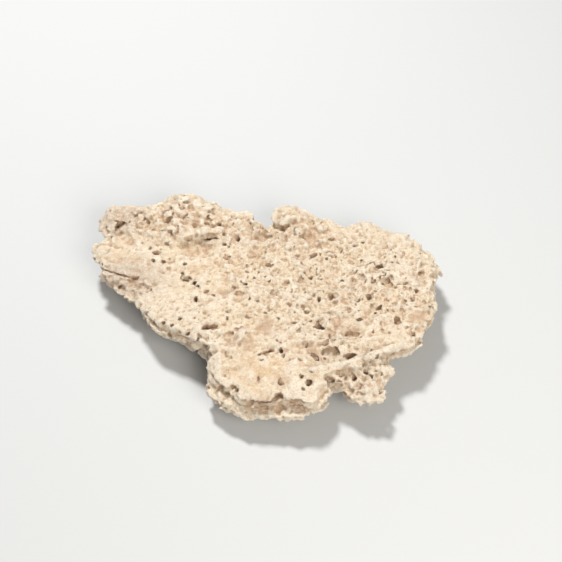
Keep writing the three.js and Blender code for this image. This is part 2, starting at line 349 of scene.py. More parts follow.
def knobs(points, size, layer):
    """Round knobs with creases between them, from 0 in a crease to 1 on a knob."""
    offset = Vector((layer * FAR_APART, layer * FAR_APART, -layer * 0.5))
    scaled = points / (size * MM)
    bends = [noise.noise_vector(1.3 * Vector(p) + offset) for p in scaled]
    nearest = [noise.voronoi(Vector(p) + 0.45 * bend + offset)[0] for p, bend in zip(scaled, bends)]
    first = np.array([d[0] for d in nearest])
    second = np.array([d[1] for d in nearest])
    return np.clip((second - first) * 1.6, 0, 1) ** 0.7


def domes(points, size, layer):
    """Round domes that meet in sharp creases, like popcorn, from 0 in a crease to 1 on a dome."""
    offset = Vector((-layer * FAR_APART, layer * FAR_APART, layer * 0.7))
    scaled = points / (size * MM)
    bends = [noise.noise_vector(0.9 * Vector(p) + offset) for p in scaled]
    nearest = [
        noise.voronoi(Vector(p) + 0.35 * bend + offset)[0][0] for p, bend in zip(scaled, bends)
    ]
    return np.clip(1 - 1.5 * np.array(nearest) ** 2, 0, 1)


GRAIN_HEADING = math.radians(31)
GRAIN_STRETCH = 2.4


def along_grain(points):
    """The points squeezed along the stone's grain, so that noise read there is drawn out."""
    along = np.array([math.cos(GRAIN_HEADING), math.sin(GRAIN_HEADING), 0])
    return points - np.outer(points @ along, along) * (1 - 1 / GRAIN_STRETCH)


def along_line(points, pixels, width):
    """1 on a line through the pixels and 0 away from it, measured from above."""
    places = [on_stone(*pixel)[0] for pixel in pixels]
    nearest = np.full(len(points), 1e9)
    for a, b in zip(places, places[1:]):
        start, run = np.array(a)[:2], np.array(b - a)[:2]
        share = np.clip((points[:, :2] - start) @ run / (run @ run), 0, 1)
        gap = np.linalg.norm(points[:, :2] - start - share[:, None] * run, axis=1)
        nearest = np.minimum(nearest, gap)
    return np.exp(-((nearest / (width * MM)) ** 2))


# %% Lines of welts, ridges and creases in the photograph
WELTS = [
    {
        "rise": 4.4, "width": 3.0,
        "pixels": [(312, 371), (334, 366), (356, 362), (378, 354), (399, 346)],
    },
    {
        "rise": 3.2, "width": 2.3,
        "pixels": [(300, 342), (316, 341), (331, 339.5), (346, 341), (354, 346)],
    },
    {"rise": 2.2, "width": 3.0, "pixels": [(350, 348), (366, 340), (382, 336)]},
    {"rise": 2.2, "width": 2.4, "pixels": [(233, 348), (240, 338), (247, 328)]},
    {"rise": 2.0, "width": 3.4, "pixels": [(228, 296), (246, 290), (262, 286)]},
    {"rise": 1.6, "width": 4.0, "pixels": [(186, 318), (206, 308), (228, 300)]},
    {"rise": 3.0, "width": 3.0, "pixels": [(204, 328), (209, 327), (215, 326.5)]},
    {"rise": 3.0, "width": 3.4, "pixels": [(327, 353.5), (331, 353.5), (335, 353)]},
    {"rise": 2.4, "width": 3.2, "pixels": [(225, 339), (231, 338)]},
    {"rise": 2.0, "width": 5.0, "pixels": [(182, 238), (200, 233), (218, 232)]},
    {"rise": 2.6, "width": 2.2, "pixels": [(203, 242.5), (211, 241.5), (219, 240.5)]},
    {"rise": -2.2, "width": 2.6, "pixels": [(197, 243), (208, 240), (220, 238)]},
    {"rise": -3.2, "width": 1.8, "pixels": [(190, 205), (191, 209), (195, 212)]},
    {"rise": -2.6, "width": 3.6, "pixels": [(176, 215), (181, 214), (186, 216)]},
    {"rise": -2.6, "width": 1.7, "pixels": [(199, 217), (204, 219.5), (212, 222), (219, 226)]},
    {"rise": -2.2, "width": 1.7, "pixels": [(186, 221), (193, 222), (199, 221)]},
    {"rise": -1.6, "width": 3.0, "pixels": [(160, 248), (176, 246), (192, 246)]},
    {"rise": 3.0, "width": 4.0, "pixels": [(113, 229), (118, 231), (123, 231)]},
    {
        "rise": 2.8, "width": 2.0,
        "pixels": [(91, 243), (104, 237), (114, 239), (122, 236), (131, 233)],
    },
    {"rise": 1.4, "width": 2.6, "pixels": [(131, 233), (136, 239), (140, 247)]},
    {"rise": -2.2, "width": 1.4, "pixels": [(98, 246), (109, 245), (123, 247.5)]},
    {"rise": -1.8, "width": 4.0, "pixels": [(124, 240), (130, 243)]},
    {"rise": -1.5, "width": 1.4, "pixels": [(97, 256), (112, 262), (124, 265)]},
    {"rise": 1.6, "width": 1.8, "pixels": [(120, 258), (132, 255), (144, 252)]},
    {"rise": -2.0, "width": 3.0, "pixels": [(122, 262), (131, 260), (140, 258.5)]},
    {"rise": -2.6, "width": 1.5, "pixels": [(147.5, 259), (148.5, 263), (149, 267)]},
    {"rise": -1.8, "width": 1.6, "pixels": [(116, 268.5), (126, 269), (136, 270)]},
]

# %% Relief of the top
def relief_of_ground(zones, uneven, rough):
    """Hills, basins and winding crests, weak where the top is rubbed smooth."""
    points, top = zones["points"], zones["top"]
    hollowed = np.clip(zones["pitted"] + zones["crust"], 0, 1)
    basins = soft_step(rolling(points, size=13, layer=27), 0.1, 0.42) * hollowed
    relief = 2.0 * rough * rolling(points, size=24, layer=10)
    relief -= 2.8 * rough * top * basins
    relief += 1.2 * rough * crests(points, size=17, layer=11)
    relief += 1.5 * (0.15 + 0.85 * rough) * uneven * crests(points, size=6.5, layer=17, octaves=4)
    relief += 1.0 * (0.3 + 0.7 * rough) * rolling(points, size=3.0, layer=15)
    relief += 1.2 * zones["grained"] * crests(along_grain(points), size=8, layer=19, octaves=4)
    return relief


def relief_of_sheet(zones):
    points, sheet_top = zones["points"], zones["sheet"] * zones["top"]
    relief = 3.2 * sheet_top * rolling(along_grain(points), size=13, layer=28)
    relief += 0.9 * sheet_top * crests(along_grain(points), size=6, layer=31)
    return relief


def relief_of_crust(zones):
    """Popcorn in three sizes. The two constants keep the crust's mean level where it is."""
    points = zones["points"]
    popcorn = zones["crust"] + 0.7 * zones["sponge"] + 0.4 * zones["lobe"]
    popcorn = np.clip(popcorn, 0, 1) * zones["top"]
    coarse = 5.5 * domes(points, size=13, layer=22) + 2.6 * domes(points, size=6.5, layer=23) - 4.8
    fine = 1.2 * (domes(points, size=3.8, layer=24) - 0.6)
    return popcorn * (coarse + fine)


def relief_of_knobs(zones, uneven, rough):
    """Knobs of the pitted zone and of everything that isn't the top."""
    points, top = zones["points"], zones["top"]
    lumpy = np.maximum(0.45 * zones["pitted"] * top, 0.35 * (1 - top))
    relief = 5.0 * lumpy * uneven * (knobs(points, size=12, layer=12) - 0.6)
    relief += 2.6 * lumpy * (knobs(points, size=6, layer=13) - 0.55)
    relief += 1.4 * rough * uneven * zones["pitted"] * (knobs(points, size=9, layer=14) - 0.55)
    return relief


# %% Relief of the sides
SHELF_BEND = 2.6
SHELF_WAVE = 1.3
CRACK_WIDTH = 0.13
CRACK_AT = 0.06


def thin_layers(points, gap, layer):
    """Shelves with a narrow crack under each: 1 on a shelf's lip and -1 in a crack."""
    bent = points[:, 2] / MM
    bent += SHELF_BEND * rolling(points, 70, layer) + SHELF_WAVE * rolling(points, 19, layer + 1)
    share = (bent / gap) % 1.0
    shelf = 0.2 + 0.8 * share
    below, above = (share - CRACK_AT) / CRACK_WIDTH, (share - CRACK_AT - 1) / CRACK_WIDTH
    crack = np.exp(-(below ** 2)) + np.exp(-(above ** 2))
    open_here = np.clip(0.75 + 0.9 * rolling(points, 33, layer + 2), 0, 1.3)
    return shelf - 2.0 * crack * open_here


def relief_of_sides(zones):
    points = zones["points"]
    coarse = 3.0 * thin_layers(points, gap=9.5, layer=3)
    fine = 1.4 * thin_layers(points, gap=3.8, layer=6)
    return zones["side"] * (coarse + fine + 1.6 * crests(points, size=8, layer=16))


# %% Add the relief up and move the points
SINK = 0.9


def relief_of(zones):
    """All the relief in mm. SINK brings the stone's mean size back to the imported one's."""
    points, top = zones["points"], zones["top"]
    calm = zones["sheet"] + 0.75 * zones["front"] + 0.5 * zones["rubbed"]
    rough = 1 - 0.75 * np.clip(calm, 0, 1) * top
    uneven = np.clip(0.6 + 0.9 * rolling(points, size=30, layer=21), 0.1, 1.3)
    relief = relief_of_ground(zones, uneven, rough) + relief_of_sheet(zones)
    relief += relief_of_crust(zones) + relief_of_knobs(zones, uneven, rough)
    relief += relief_of_sides(zones)
    for welt in WELTS:
        relief += welt["rise"] * top * along_line(points, welt["pixels"], welt["width"])
    return relief - SINK


zones = zones_of(reef_rock)
rests = soft_step(zones["points"][:, 2], *FOOT)
moved = zones["points"] + zones["normals"] * (relief_of(zones) * rests * MM)[:, None]
reef_rock.data.vertices.foreach_set("co", moved.ravel())
reef_rock.data.update()
print("relief, mm:", round((moved - zones["points"]).max() / MM, 2))

# %% [markdown]
# ## Lumps
#
# The crust's knobs, the sharp ridge at the right front and the rough bed under the left sheet
# stand too proud for relief, and the creases between them are sharper. They are lumpy balls,
# bedded in the skin before it is evened out, as if crumbs of stone were stuck on and had grown
# fast. The voxel remesh after it fuses balls and stone into one skin.
#
# A ball's place is a pixel, and its size is read in pixels too. The photograph looks down at a
# slant, so a length that runs away from it is longer on the stone than it looks. A plug is a ball
# that is sunk, and it closes a packed pit where the photograph has none or a smaller one.

# %% A lumpy ball, modelled once and copied with a shape of its own
bpy.ops.object.select_all(action="DESELECT")
bpy.ops.mesh.primitive_ico_sphere_add(subdivisions=3, radius=1)
ball = bpy.context.object
ball_points = points_of(ball)
ball_faces = np.array([face.vertices[:] for face in ball.data.polygons])
bpy.data.objects.remove(ball)
chance = random.Random(20)
LUMPINESS = 0.7
LUMP_SIZE = 1.4


def lumpy_ball(place, outward, heading, radii, depth):
    """The points of a ball that lies in the skin, long along heading and sunk to a depth."""
    along = Vector((math.cos(heading), math.sin(heading), 0))
    along = (along - along.project(outward)).normalized()
    turn = Matrix((along, outward.cross(along), outward)).transposed()
    offset = Vector([chance.uniform(-50, 50) for _ in range(3)])
    hills = [noise.fractal(LUMP_SIZE * Vector(p) + offset, 0.8, 2, 2) for p in ball_points]
    swollen = 1 + LUMPINESS * np.array(hills)
    shaped = ball_points * swollen[:, None] * np.array([radii[0], radii[1], depth]) * MM
    return shaped @ np.array(turn.transposed()) + np.array(place)


# %% Where a ball is bedded
FORESHORTENING = math.sin(HEIGHT_ANGLE)
PIXEL = DISTANCE / FOCAL_PIXELS / MM


def mouth(across, down, wide, tall):
    """Where a hole opens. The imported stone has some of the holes, and their floors lie too deep."""
    around = [(0, 0), (wide / 2 + 2, 0), (-wide / 2 - 2, 0), (0, tall / 2 + 2), (0, -tall / 2 - 2)]
    hits = [on_stone(across + right, down + below) for right, below in around]
    far = sorted((place - EYE).length for place, _ in hits)[len(hits) // 2 - 1]
    outward = sum((normal for _, normal in hits), Vector()).normalized()
    return EYE + line_of_sight(across, down) * far, outward


def radii_of(wide, tall, oversize=1.0):
    """Half the width and half the length on the stone, in mm, from a size in pixels."""
    return [oversize * PIXEL * wide / 2, oversize * PIXEL * tall / 2 / FORESHORTENING]


def mesh_of_balls(name, balls):
    counts = np.arange(len(balls))[:, None, None] * len(ball_points)
    mesh = bpy.data.meshes.new(name)
    mesh.from_pydata(np.vstack(balls), [], (ball_faces[None] + counts).reshape(-1, 3).tolist())
    thing = bpy.data.objects.new(name, mesh)
    bpy.context.scene.collection.objects.link(thing)
    return thing


# %% Lumps in the photograph: pixel across and down, width and height in pixels, height in mm
LUMPS = [
    (183, 198, 12, 8, 2.2), (198, 203.7, 12, 8, 2.6), (208, 207, 12, 7, 2.4), (203.5, 214, 9, 6, 2),
    (190, 218, 8, 5, 2), (212, 216, 7, 5, 2), (176, 207, 9, 6, 2), (168, 214, 8, 6, 2),
    (157, 224, 8, 6, 2), (171, 228, 9, 5, 2), (226, 218, 8, 5, 2.4), (238, 222, 8, 6, 2.4),
    (285, 221, 12, 9, 2.6), (300, 232, 10, 7, 2.6), (268, 231, 8, 5, 2.2),
    (106, 275, 14, 8, 4), (114, 279, 15, 9, 5), (124, 283, 16, 9, 5), (136, 285, 15, 9, 5),
    (147, 285, 12, 8, 4), (119, 286, 12, 7, 4), (130, 291, 12, 6, 4), (140, 291, 10, 6, 3),
    (152, 316, 9, 7, 3), (160, 322, 8, 6, 3), (168, 325, 7, 6, 3), (175, 329, 9, 7, 3.4),
    (184, 331, 8, 6, 3), (193, 336, 8, 6, 3), (203, 341, 8, 6, 3), (143, 310, 7, 5, 2.6),
]
BLADE = [
    (341, 365.5, 22, 6), (357, 361.5, 20, 6), (373, 356, 20, 6), (386, 351, 18, 6),
    (397, 346.5, 13, 5),
]
BLADE_HEADING = math.radians(23)
BLADE_HEIGHT = 3.4
PLUGS = [(228, 266.8, 11, 9), (210, 325, 15, 9), (390.4, 244.4, 9, 8)]
PLUG_HEIGHT = 2.6
PLUG_SUNK = 1.9

lumps = []
for across, down, wide, tall, height in LUMPS:
    place, outward = mouth(across, down, wide / 2, tall / 2)
    lumps.append(lumpy_ball(place, outward, 0, radii_of(wide, tall), height))
for across, down, wide, tall in BLADE:
    place, outward = mouth(across, down, wide / 3, tall / 3)
    lumps.append(lumpy_ball(place, outward, BLADE_HEADING, radii_of(wide, tall), BLADE_HEIGHT))
for across, down, wide, tall in PLUGS:
    place, outward = mouth(across, down, wide + 2, tall + 2)
    sunk = place - outward * PLUG_SUNK * MM
    lumps.append(lumpy_ball(sunk, outward, 0, radii_of(wide, tall), PLUG_HEIGHT))

# %% Nodules by seeded chance, crowded in the crust and along the right rim
NODULES = 560
zones = zones_of(reef_rock)
crowding = zones["top"] * (
    zones["crust"] + 0.5 * zones["sponge"] + 0.7 * zones["rim"] + 0.3 * zones["lobe"]
)
crowding = np.clip(crowding * (0.6 + 1.2 * rolling(zones["points"], 20, 30)), 0, None)
chosen = np.random.default_rng(5).choice(
    len(crowding), size=NODULES, replace=False, p=crowding / crowding.sum()
)
for index in chosen:
    radius = chance.uniform(1.3, 3.1)
    radii = [radius * chance.uniform(1.0, 1.5), radius]
    place, outward = Vector(zones["points"][index]), Vector(zones["normals"][index])
    lumps.append(lumpy_ball(place, outward, chance.uniform(0, math.pi), radii, 0.75 * radius))

# %% Bed the lumps in the stone
lump_mesh = mesh_of_balls("lumps", lumps)
only(lump_mesh)
reef_rock.select_set(True)
bpy.context.view_layer.objects.active = reef_rock
bpy.ops.object.join()
print("lumps bedded:", len(lumps))

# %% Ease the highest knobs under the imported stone's height, and even out the skin
SKIN_VOXEL = 1.0 * MM
CEILING = cad_box[1][2] + 0.8 * MM
EASE = 4 * MM
points = points_of(reef_rock)
over = np.clip(points[:, 2] - CEILING + EASE, 0, None)
points[:, 2] -= over - EASE * np.tanh(over / EASE)
reef_rock.data.vertices.foreach_set("co", points.ravel())
finish_with(reef_rock, "REMESH", mode="VOXEL", voxel_size=SKIN_VOXEL)
unpitted_skin = skin_of(reef_rock)
print("skin:", len(reef_rock.data.vertices), "points")

# %% [markdown]
# ## Pits and pores
#
# Worms and boring sponges leave holes with sharp rims and overhanging walls. Pushing points in
# can't make those: it stretches the skin into cones. So each hole is a lumpy ball, all the balls
# are fused into one cutter, and one Boolean takes the cutter away from the stone. The holes that
# give this plate its face are read from the photograph, and seeded chance adds the small ones:
# deep pores, and wide shallow dents where a wall has broken down.
#
# The shoulders of a hole are worn, so the skin about it is lowered a little before the cut.

# %% Holes in the photograph: pixel across and down, width and height in pixels, depth in mm
HOLES = [
    (318.7, 325.6, 6, 4, 7), (298.6, 329.8, 4, 3, 4), (330, 333.5, 3, 8, 6),
    (349.7, 331, 13, 7, 3.5), (265.4, 324.2, 9, 9, 2.2), (230.5, 338.9, 10, 8, 3),
    (207, 328, 8, 4, 5), (214, 327.5, 7, 4, 4), (227.2, 310.8, 5, 4, 6),
    (280.4, 341.6, 2.5, 2, 4), (306.5, 345.2, 3.4, 3, 5), (246, 345.6, 8, 7, 1.8),
    (225.6, 353, 3, 6, 5), (229.4, 356.5, 6, 3, 4), (266, 352.5, 6, 4, 4),
    (271.5, 350.5, 6, 3, 4), (281, 351, 4, 4, 5), (283, 355, 3, 4, 5), (289.5, 358.6, 3, 4, 4),
    (259.3, 353.6, 3.5, 2.5, 4), (262, 359.2, 4, 2.2, 4), (300.2, 359.6, 4, 2, 3),
    (312.5, 352, 8, 9, 3), (316.5, 359, 4, 4, 5), (324.3, 361.2, 3, 2, 4), (328, 351, 7, 4, 3.5),
    (335.5, 350.5, 6, 6, 5), (349, 356.3, 8, 5, 4), (365.8, 357, 2.5, 4, 4),
    (258.7, 378.7, 2.5, 6, 5), (281.4, 380.5, 4, 7.5, 7), (309.3, 382.4, 5.5, 4, 7),
    (329.6, 380.4, 7, 6, 7), (278.7, 398.5, 8, 6, 6), (352.4, 374.4, 3, 2.5, 4),
    (355, 378, 5, 4, 5), (365.8, 372.4, 5, 4, 5), (359.8, 385.8, 5, 4, 4), (371, 377, 3, 3, 4),
    (346, 379, 3, 3, 3), (381.9, 322.5, 5.5, 4.5, 4), (339, 322.8, 11, 3.5, 3),
    (195, 299, 3, 5, 5), (218.5, 299.4, 2.5, 2, 3), (239.2, 293.3, 8, 4, 2.5),
    (206.2, 291.4, 5, 4, 5), (289, 303.6, 4.5, 4, 5), (293.5, 296, 3, 2.4, 3),
    (319.3, 298, 3, 5, 6), (327, 297.8, 3.5, 4, 3), (335, 303, 5, 5, 4),
    (349.7, 296.3, 4, 3.4, 4), (272, 273.6, 5, 4, 4), (311.4, 275.5, 4, 5, 7),
    (329, 276.7, 5, 4, 4), (364.7, 279.5, 3.5, 3, 5), (382.9, 282.7, 4, 3, 6),
    (389, 285.8, 7, 3.4, 4), (399, 283.5, 5, 2.6, 4), (404.5, 283, 6, 2.4, 4),
    (416.8, 290, 4.4, 4, 6), (399.2, 290, 2.5, 3, 4), (299.8, 254.2, 9, 5, 5),
    (326.5, 257.9, 3.4, 3, 5), (316.8, 257.9, 3.4, 2.4, 4), (332, 256.4, 3, 2.4, 4),
    (341, 250.6, 4, 4, 5), (335, 287, 8, 5, 3.4), (365.3, 287, 9, 5, 4), (364, 298.5, 3.4, 3, 4),
    (394.4, 302.7, 5, 4, 5), (412.6, 297.9, 4, 5, 5), (386.5, 299.7, 5.5, 3.4, 4),
    (321, 245.8, 6, 4, 4), (310.8, 236, 9, 4, 2.5), (284, 235, 7, 5, 4), (262.5, 245.8, 4, 3, 4),
    (268.5, 245.4, 3.4, 2.6, 4), (273.2, 249.4, 7, 6, 2.5), (259.8, 238.5, 9, 4, 4),
    (347.7, 273.6, 6, 5, 2), (383.5, 293.6, 6, 4, 3), (156.2, 252, 8, 4.4, 6),
    (185.5, 253, 8, 4, 3), (170, 260.6, 7, 5, 4), (168.8, 268.6, 5, 4.4, 4),
    (149.3, 246.3, 3, 3, 6), (142.4, 242.2, 4, 2.6, 4), (184.9, 264, 4, 3, 5),
    (195.2, 268, 7, 5, 2), (182.4, 272.8, 3.4, 2.4, 4), (188.2, 279, 5, 4, 4),
    (194.5, 283.4, 5, 3, 6), (199.6, 286.3, 3.4, 2.4, 6), (195.8, 298.5, 3, 5, 6),
    (150.4, 289.3, 3.2, 3, 5), (134.4, 278.4, 9, 3.4, 5), (226.8, 256, 7, 5, 6),
    (229, 261, 4, 5, 4), (242.3, 257.7, 4, 5, 4), (224.5, 244, 5, 2.6, 4), (238.2, 239, 4, 5, 4),
    (253.8, 250.3, 8, 7, 4), (208, 239.4, 7, 1.6, 4), (214, 238.2, 8, 1.6, 4),
    (205.6, 246.3, 10, 4, 3), (224.5, 233.6, 4, 4, 5), (118.3, 225, 7, 5, 7),
    (111.4, 236, 4, 4, 5), (118, 234, 5, 2.6, 5), (130.9, 211.2, 3.4, 2.4, 4),
    (240, 293.9, 8, 4, 3), (233, 288, 5, 6, 4), (227, 291, 4, 5, 3), (191.8, 207.2, 6, 5, 5),
    (206.7, 224.4, 5, 4, 4), (219.3, 224.4, 4, 3, 5), (166.4, 243.6, 4, 2.4, 4),
    (158, 244.5, 6, 2.4, 4), (349, 310, 6, 4, 3), (372, 306, 5, 4, 4), (300, 288, 6, 4, 3),
    (285, 283, 5, 4, 3), (352, 262, 5, 4, 4), (376, 268, 5, 3.4, 4), (402, 272, 6, 4, 3),
    (424, 276, 6, 5, 3), (252, 402.6, 10, 2.4, 7), (262, 403.2, 12, 2.2, 7),
    (271, 402, 8, 2.2, 6), (231, 387.5, 5, 4, 5), (235, 391.5, 5, 3.4, 5),
    (296, 405.6, 9, 1.6, 3), (420, 274, 9, 8, 4), (413.5, 262, 6, 3, 4), (422.5, 262.5, 3, 3, 4),
    (424.4, 301.7, 5, 4, 2.5), (394, 290.9, 3.4, 2.4, 4), (406.2, 326.3, 4, 3, 4),
    (409.7, 332.3, 5, 4, 4), (414.5, 333.6, 5, 4, 5), (389.7, 331.4, 3, 2.5, 4),
    (399.5, 332.6, 3, 2.5, 4), (421.5, 314, 9, 8, 2.5), (402.4, 311.3, 6, 5, 3),
    (393.5, 310, 3, 2, 4), (401, 274.6, 2.5, 2, 4), (391.3, 275, 2.5, 2, 4),
    (388, 269.9, 4, 2, 4), (398, 262.8, 3, 2, 4), (392, 261, 3, 2, 4), (163, 323, 3.4, 2.6, 3.5),
    (172, 326, 3, 2.4, 3.5), (188, 334, 4, 2.6, 4), (198, 339, 3.4, 2.4, 4),
    (148, 313, 3, 2.4, 3.5),
]

# %% The holes that the photograph shows
OVERSIZE = 1.12

OFF_LEVEL = 14
SIDE_BALLS = 2

balls = []
taken = []
for across, down, wide, tall, depth in HOLES:
    place, outward = mouth(across, down, wide, tall)
    radii = radii_of(wide, tall, OVERSIZE)
    heading = math.radians(chance.uniform(-OFF_LEVEL, OFF_LEVEL))
    balls.append(lumpy_ball(place, outward, heading, radii, depth))
    for _ in range(SIDE_BALLS):
        beside = [chance.uniform(-0.55, 0.55) * radius * MM for radius in radii]
        share = chance.uniform(0.45, 0.75)
        smaller = [share * radius for radius in radii]
        nearby = place + Vector((beside[0], beside[1], 0))
        balls.append(lumpy_ball(nearby, outward, heading, smaller, depth * share))
    taken.append((place, max(radii)))
print("balls for the holes in the photograph:", len(balls))

# %% The crack under the left sheet, as a row of flat balls along a line of pixels
CRACK = [(101, 268.6), (110, 271.8), (119, 274.8), (129, 277), (142, 276.3)]
CRACK_BALL = 8

for (across, down), (next_across, next_down) in zip(CRACK, CRACK[1:]):
    run, fall = next_across - across, next_down - down
    heading = math.atan2(-fall / FORESHORTENING, run)
    for share in (0, 0.5):
        tall, depth = chance.uniform(1.2, 2.4), chance.uniform(2.5, 5)
        place, outward = mouth(across + share * run, down + share * fall, CRACK_BALL, tall)
        balls.append(lumpy_ball(place, outward, heading, radii_of(CRACK_BALL, tall), depth))

# %% Small holes by seeded chance, as crowded as each zone asks
SMALL_HOLES = 1000
CLOSEST = 1.15
DENTS = 0.3
TWINS = 0.45
LARGEST_PORE = 2.6
LOWEST_HOLE = 3 * MM

zones = zones_of(reef_rock)
crowding = (
    0.10
    + zones["top"] * (0.75 * zones["pitted"] + 0.2 * zones["crust"] + 0.5 * zones["sponge"])
    + 0.12 * zones["side"]
)
spared = zones["sheet"] + 0.6 * zones["front"] + 0.5 * zones["rubbed"] + zones["hump"]
crowding *= 1 - 0.9 * zones["top"] * np.clip(spared, 0, 1)
crowding *= np.clip(0.55 + 1.6 * rolling(zones["points"], 28, 25), 0.08, 1.6)
order = np.random.default_rng(7).choice(
    len(crowding), size=SMALL_HOLES * 4, replace=False, p=crowding / crowding.sum()
)
centres = np.array([place for place, _ in taken])
reaches = np.array([reach for _, reach in taken])
added = 0
for index in order:
    if added == SMALL_HOLES:
        break
    place = Vector(zones["points"][index])
    outward = Vector(zones["normals"][index])
    is_dent = chance.random() < DENTS
    if is_dent:
        radius = chance.uniform(1.8, 4.0)
        depth = radius * chance.uniform(0.35, 0.65)
    else:
        radius = min(LARGEST_PORE, 0.85 * math.exp(chance.gauss(0.25, 0.4)))
        depth = radius * chance.uniform(1.1, 3.0)
    gaps = np.linalg.norm(centres - np.array(place), axis=1) / MM
    if place.z < LOWEST_HOLE or (gaps < CLOSEST * (reaches + radius)).any():
        continue
    heading = chance.uniform(0, math.pi)
    balls.append(lumpy_ball(place, outward, heading, [radius * 1.3, radius * 0.85], depth))
    if chance.random() < TWINS:
        away = Vector((math.cos(heading + 0.8), math.sin(heading + 0.8), 0)) * radius * 1.2 * MM
        lesser = [radius * 0.8] * 2
        balls.append(lumpy_ball(place + away, outward, heading + 1, lesser, depth * 0.6))
    centres = np.vstack([centres, np.array(place)])
    reaches = np.append(reaches, radius)
    added += 1
print("small holes:", added)

# %% Wear the shoulders of every hole
SHOULDER = 1.7
WEAR = 0.3
points, normals = points_of(reef_rock), normals_of(reef_rock)
tree = kdtree.KDTree(len(points))
for index, point in enumerate(points):
    tree.insert(point, index)
tree.balance()
worn = np.zeros(len(points))
for centre, reach in zip(centres, reaches):
    near = tree.find_range(centre, 2.2 * SHOULDER * reach * MM)
    if near:
        indices = np.array([item[1] for item in near])
        shares = np.array([item[2] for item in near]) / (SHOULDER * reach * MM)
        worn[indices] = np.maximum(worn[indices], WEAR * reach * np.exp(-(shares ** 2)))
worn *= soft_step(points[:, 2], *FOOT)
points -= normals * (worn * MM)[:, None]
reef_rock.data.vertices.foreach_set("co", points.ravel())
reef_rock.data.update()
print("worn by up to, mm:", round(worn.max(), 2))

# %% Fuse the balls and cut them out of the stone
CUTTER_VOXEL = 0.8 * MM
cutter = mesh_of_balls("hole_cutter", balls)
finish_with(cutter, "REMESH", mode="VOXEL", voxel_size=CUTTER_VOXEL)
finish_with(reef_rock, "BOOLEAN", operation="DIFFERENCE", solver="MANIFOLD", object=cutter)
bpy.data.objects.remove(cutter)
print("after the holes:", triangles(reef_rock), "triangles")

# %% Keep the stone and drop crumbs and sealed bubbles
only(reef_rock)
bpy.ops.mesh.separate(type="LOOSE")
loose = [thing for thing in bpy.context.selected_objects]
reef_rock = max(loose, key=lambda thing: len(thing.data.vertices))
for crumb in loose:
    if crumb is not reef_rock:
        bpy.data.objects.remove(crumb)
reef_rock.name = "reef_rock_dressed"
print("crumbs dropped:", len(loose) - 1)

# %% [markdown]
# ## Thinning
#
# The cut stone has several times the triangles that a part may have. Decimate merges them where
# the surface is flat and keeps them at the rims of holes. The underside lies on the floor and has
# the least to show, so it is thinned first and harder. The last touch is a crumbling of less
# than a millimetre, which takes the soft look of a remesh off the rims.

# %% Thin the underside first, and then the rest where it is flat
MOST_TRIANGLES = 192000
UNDERSIDE_TRIANGLES = 34000


def decimate_to(thing, target, **settings):
    finish_with(thing, "DECIMATE", ratio=min(1, target / triangles(thing)), **settings)


finish_with(reef_rock, "SMOOTH", factor=0.25, iterations=1)
faces_down = normals_of(reef_rock)[:, 2] < -0.35
below = np.flatnonzero(faces_down)
reef_rock.vertex_groups.new(name="underside").add(below.tolist(), 1, "REPLACE")
whole = triangles(reef_rock)
underside = 2 * len(below)
decimate_to(reef_rock, whole - underside + UNDERSIDE_TRIANGLES, vertex_group="underside")
decimate_to(reef_rock, MOST_TRIANGLES)
only(reef_rock)
bpy.ops.object.shade_smooth()
print("dressed stone:", whole, "triangles thinned to", triangles(reef_rock))

# %% Crumble what is left by a little
CRUMBLE = 0.3
CHIPPING = 0.55
points, normals = points_of(reef_rock), normals_of(reef_rock)
lifted = soft_step(points[:, 2], 0.4 * MM, 3 * MM)
uneven = CRUMBLE * rolling(points, 2.2, 18) + CHIPPING * rolling(points, 5, 26)
points += normals * (MM * lifted * uneven)[:, None]
reef_rock.data.vertices.foreach_set("co", points.ravel())
reef_rock.data.update()

# %% [markdown]
# ## What the colour follows
#
# Painted light goes into the colour: a painted highlight on what stands out and painted shade in
# what lies deep. So each point keeps, as attributes that the material reads, how deep it lies
# under the skin that had no holes, how far it stands above the skin close round it and above the
# skin further off, and which zone it is in.


# %% Store the depth and the zones on the points
def store(thing, name, values):
    attribute = thing.data.attributes.new(name, "FLOAT", "POINT")
    attribute.data.foreach_set("value", np.ascontiguousarray(values, np.float32))


def proud_of_surroundings(thing, rounds):
    """How far each point stands above the skin round it, in mm, and below it where negative."""
    pairs = np.empty(len(thing.data.edges) * 2, int)
    thing.data.edges.foreach_get("vertices", pairs)
    a, b = pairs.reshape(-1, 2).T
    ends, others = np.concatenate([a, b]), np.concatenate([b, a])
    points = points_of(thing)
    count = np.bincount(ends, minlength=len(points))[:, None]
    blurred = points
    for _ in range(rounds):
        sums = [np.bincount(ends, blurred[others, axis], len(points)) for axis in range(3)]
        blurred = 0.5 * blurred + 0.5 * np.array(sums).T / count
    return ((points - blurred) * normals_of(thing)).sum(axis=1) / MM


CLOSE_ROUND = 8
FURTHER_OFF = 70
zones = zones_of(reef_rock)
proud = proud_of_surroundings(reef_rock, CLOSE_ROUND)
swell = proud_of_surroundings(reef_rock, FURTHER_OFF)
for name, values in (("proud", proud), ("swell", swell)):
    print(name, "of the skin round it, mm:", np.percentile(values, [2, 25, 75, 98]).round(2))
depths = np.array([unpitted_skin.find_nearest(Vector(p))[3] for p in zones["points"]])

